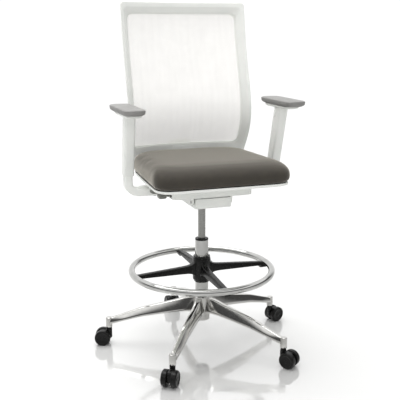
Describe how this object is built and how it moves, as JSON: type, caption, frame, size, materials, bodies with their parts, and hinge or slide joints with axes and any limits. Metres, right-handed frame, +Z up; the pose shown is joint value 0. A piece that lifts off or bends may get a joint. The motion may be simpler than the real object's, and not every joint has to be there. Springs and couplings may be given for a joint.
{
  "type": "drafting chair",
  "caption": "Tall swivel drafting chair with a mesh back, padded seat, height-adjustable arms, gas lift, foot ring and a caster base.",
  "frame": {"origin": "the middle of the chair's footprint on the floor, under the centre of its bounding box", "axes": "+Z up, -Y the way a sitter faces, +X to the sitter's left"},
  "size_m": [0.7946, 0.7557, 1.281],
  "materials": {
    "polished_aluminium": "polished",
    "chrome": "polished",
    "steel": "satin",
    "white_nylon": "satin",
    "black_nylon": "satin",
    "caster_tread": "satin",
    "grey_polyurethane": "matte",
    "grey_plastic": "satin",
    "taupe_fabric": "matte",
    "white_mesh": "matte"
  },
  "bodies": {
    "base": {"base_star": "polished_aluminium", "column_tube": "chrome", "column_bush": "black_nylon", "thrust_bearing": "steel"},
    "piston": {"piston_rod": "steel", "retaining_clip": "steel"},
    "mechanism": {"gas_cylinder": "steel", "mechanism_housing": "white_nylon", "taper_socket": "steel", "tilt_spring": "steel", "seat_pivot_shaft": "steel", "back_pivot_shaft": "steel"},
    "back": {"back_support": "white_nylon", "back_frame": "white_nylon", "mesh_carrier": "white_nylon", "back_mesh": "white_mesh"},
    "seat": {"seat_carrier": "white_nylon", "seat_shell": "white_nylon", "seat_cushion": "taupe_fabric", "arm_bracket_left": "white_nylon", "arm_bracket_right": "white_nylon"},
    "lift_lever": {"lift_lever": "grey_plastic"},
    "valve": {"valve_pin": "steel"},
    "lock_lever": {"tilt_lock_lever": "grey_plastic"},
    "footring_sleeve": {"footring_bush": "black_nylon"},
    "footring": {"footring_hub": "black_nylon", "footring_ring": "chrome"},
    "footring_knob": {"footring_knob": "black_nylon"},
    "armrest_left": {"arm_sleeve_left": "white_nylon", "arm_pad_left": "grey_polyurethane"},
    "arm_button_left": {"arm_button_left": "white_nylon"},
    "armrest_right": {"arm_sleeve_right": "white_nylon", "arm_pad_right": "grey_polyurethane"},
    "arm_button_right": {"arm_button_right": "white_nylon"},
    "caster_1": {"caster_1_hood": "black_nylon", "caster_1_stem": "steel", "caster_1_axle": "steel"},
    "caster_1_wheel_left": {"caster_1_wheel_left": "caster_tread"},
    "caster_1_wheel_right": {"caster_1_wheel_right": "caster_tread"},
    "caster_2": {"caster_2_hood": "black_nylon", "caster_2_stem": "steel", "caster_2_axle": "steel"},
    "caster_2_wheel_left": {"caster_2_wheel_left": "caster_tread"},
    "caster_2_wheel_right": {"caster_2_wheel_right": "caster_tread"},
    "caster_3": {"caster_3_hood": "black_nylon", "caster_3_stem": "steel", "caster_3_axle": "steel"},
    "caster_3_wheel_left": {"caster_3_wheel_left": "caster_tread"},
    "caster_3_wheel_right": {"caster_3_wheel_right": "caster_tread"},
    "caster_4": {"caster_4_hood": "black_nylon", "caster_4_stem": "steel", "caster_4_axle": "steel"},
    "caster_4_wheel_left": {"caster_4_wheel_left": "caster_tread"},
    "caster_4_wheel_right": {"caster_4_wheel_right": "caster_tread"},
    "caster_5": {"caster_5_hood": "black_nylon", "caster_5_stem": "steel", "caster_5_axle": "steel"},
    "caster_5_wheel_left": {"caster_5_wheel_left": "caster_tread"},
    "caster_5_wheel_right": {"caster_5_wheel_right": "caster_tread"}
  },
  "joints": [
    {"name": "seat_swivel", "type": "hinge", "parent": "base", "child": "piston", "pos_m": [0, -0.03098, 0.105], "axis": [0, 0, 1], "continuous": true},
    {"name": "seat_lift", "type": "slide", "parent": "piston", "child": "mechanism", "axis": [0, 0, 1], "range_m": [-0.12, 0.115]},
    {"name": "back_recline", "type": "hinge", "parent": "mechanism", "child": "back", "pos_m": [0, 0.08402, 0.585], "axis": [-1, 0, 0], "range_deg": [0, 18], "stiffness_Nm_per_rad": 100, "springref_deg": -5.73},
    {"name": "seat_tilt", "type": "hinge", "parent": "mechanism", "child": "seat", "pos_m": [0, -0.13098, 0.585], "axis": [-1, 0, 0], "range_deg": [0, 6]},
    {"name": "lift_lever_hinge", "type": "hinge", "parent": "mechanism", "child": "lift_lever", "pos_m": [-0.045, -0.03098, 0.59], "axis": [0, 1, 0], "range_deg": [0, 3.8], "stiffness_Nm_per_rad": 0.5, "springref_deg": -5.73},
    {"name": "valve_press", "type": "slide", "parent": "mechanism", "child": "valve", "axis": [0, 0, 1], "range_m": [-0.0031, 0]},
    {"name": "tilt_lock_hinge", "type": "hinge", "parent": "seat", "child": "lock_lever", "pos_m": [-0.15, -0.08098, 0.6245], "axis": [1, 0, 0], "range_deg": [0, 20]},
    {"name": "footring_slide", "type": "slide", "parent": "base", "child": "footring_sleeve", "axis": [0, 0, 1], "range_m": [-0.05, 0.06]},
    {"name": "footring_turn", "type": "hinge", "parent": "footring_sleeve", "child": "footring", "pos_m": [0, -0.03098, 0.298], "axis": [0, 0, 1], "continuous": true},
    {"name": "footring_clamp_screw", "type": "hinge", "parent": "footring", "child": "footring_knob", "pos_m": [0, -0.03098, 0.302], "axis": [0.7071, 0.7071, 0], "continuous": true},
    {"name": "armrest_height_left", "type": "slide", "parent": "seat", "child": "armrest_left", "axis": [-0.017, -0.2334, 0.9722], "range_m": [-0.019, 0.066]},
    {"name": "arm_button_press_left", "type": "slide", "parent": "armrest_left", "child": "arm_button_left", "axis": [-1, 0, 0], "range_m": [0, 0.0015], "stiffness_N_per_m": 200, "springref_m": -0.003},
    {"name": "armrest_height_right", "type": "slide", "parent": "seat", "child": "armrest_right", "axis": [0.017, -0.2334, 0.9722], "range_m": [-0.03, 0.055]},
    {"name": "arm_button_press_right", "type": "slide", "parent": "armrest_right", "child": "arm_button_right", "axis": [1, 0, 0], "range_m": [0, 0.0015], "stiffness_N_per_m": 200, "springref_m": -0.003},
    {"name": "caster_1_swivel", "type": "hinge", "parent": "base", "child": "caster_1", "pos_m": [0, 0.32432, 0.07], "axis": [0, 0, 1], "continuous": true},
    {"name": "caster_1_roll_left", "type": "hinge", "parent": "caster_1", "child": "caster_1_wheel_left", "pos_m": [0, 0.34932, 0.03], "axis": [-1, 0, 0], "continuous": true},
    {"name": "caster_1_roll_right", "type": "hinge", "parent": "caster_1", "child": "caster_1_wheel_right", "pos_m": [0, 0.34932, 0.03], "axis": [-1, 0, 0], "continuous": true},
    {"name": "caster_2_swivel", "type": "hinge", "parent": "base", "child": "caster_2", "pos_m": [-0.33791, 0.07881, 0.07], "axis": [0, 0, 1], "continuous": true},
    {"name": "caster_2_roll_left", "type": "hinge", "parent": "caster_2", "child": "caster_2_wheel_left", "pos_m": [-0.36169, 0.08654, 0.03], "axis": [-0.309, -0.9511, 0], "continuous": true},
    {"name": "caster_2_roll_right", "type": "hinge", "parent": "caster_2", "child": "caster_2_wheel_right", "pos_m": [-0.36169, 0.08654, 0.03], "axis": [-0.309, -0.9511, 0], "continuous": true},
    {"name": "caster_3_swivel", "type": "hinge", "parent": "base", "child": "caster_3", "pos_m": [-0.20884, -0.31842, 0.07], "axis": [0, 0, 1], "continuous": true},
    {"name": "caster_3_roll_left", "type": "hinge", "parent": "caster_3", "child": "caster_3_wheel_left", "pos_m": [-0.22354, -0.33865, 0.03], "axis": [0.809, -0.5878, 0], "continuous": true},
    {"name": "caster_3_roll_right", "type": "hinge", "parent": "caster_3", "child": "caster_3_wheel_right", "pos_m": [-0.22354, -0.33865, 0.03], "axis": [0.809, -0.5878, 0], "continuous": true},
    {"name": "caster_4_swivel", "type": "hinge", "parent": "base", "child": "caster_4", "pos_m": [0.20884, -0.31842, 0.07], "axis": [0, 0, 1], "continuous": true},
    {"name": "caster_4_roll_left", "type": "hinge", "parent": "caster_4", "child": "caster_4_wheel_left", "pos_m": [0.22354, -0.33865, 0.03], "axis": [0.809, 0.5878, 0], "continuous": true},
    {"name": "caster_4_roll_right", "type": "hinge", "parent": "caster_4", "child": "caster_4_wheel_right", "pos_m": [0.22354, -0.33865, 0.03], "axis": [0.809, 0.5878, 0], "continuous": true},
    {"name": "caster_5_swivel", "type": "hinge", "parent": "base", "child": "caster_5", "pos_m": [0.33791, 0.07881, 0.07], "axis": [0, 0, 1], "continuous": true},
    {"name": "caster_5_roll_left", "type": "hinge", "parent": "caster_5", "child": "caster_5_wheel_left", "pos_m": [0.36169, 0.08654, 0.03], "axis": [-0.309, 0.9511, 0], "continuous": true},
    {"name": "caster_5_roll_right", "type": "hinge", "parent": "caster_5", "child": "caster_5_wheel_right", "pos_m": [0.36169, 0.08654, 0.03], "axis": [-0.309, 0.9511, 0], "continuous": true}
  ],
  "couplings": [
    {"joint": "seat_tilt", "follows": "back_recline", "ratio": 0.33333},
    {"joint": "valve_press", "follows": "lift_lever_hinge", "m_per_rad": -0.045}
  ]
}
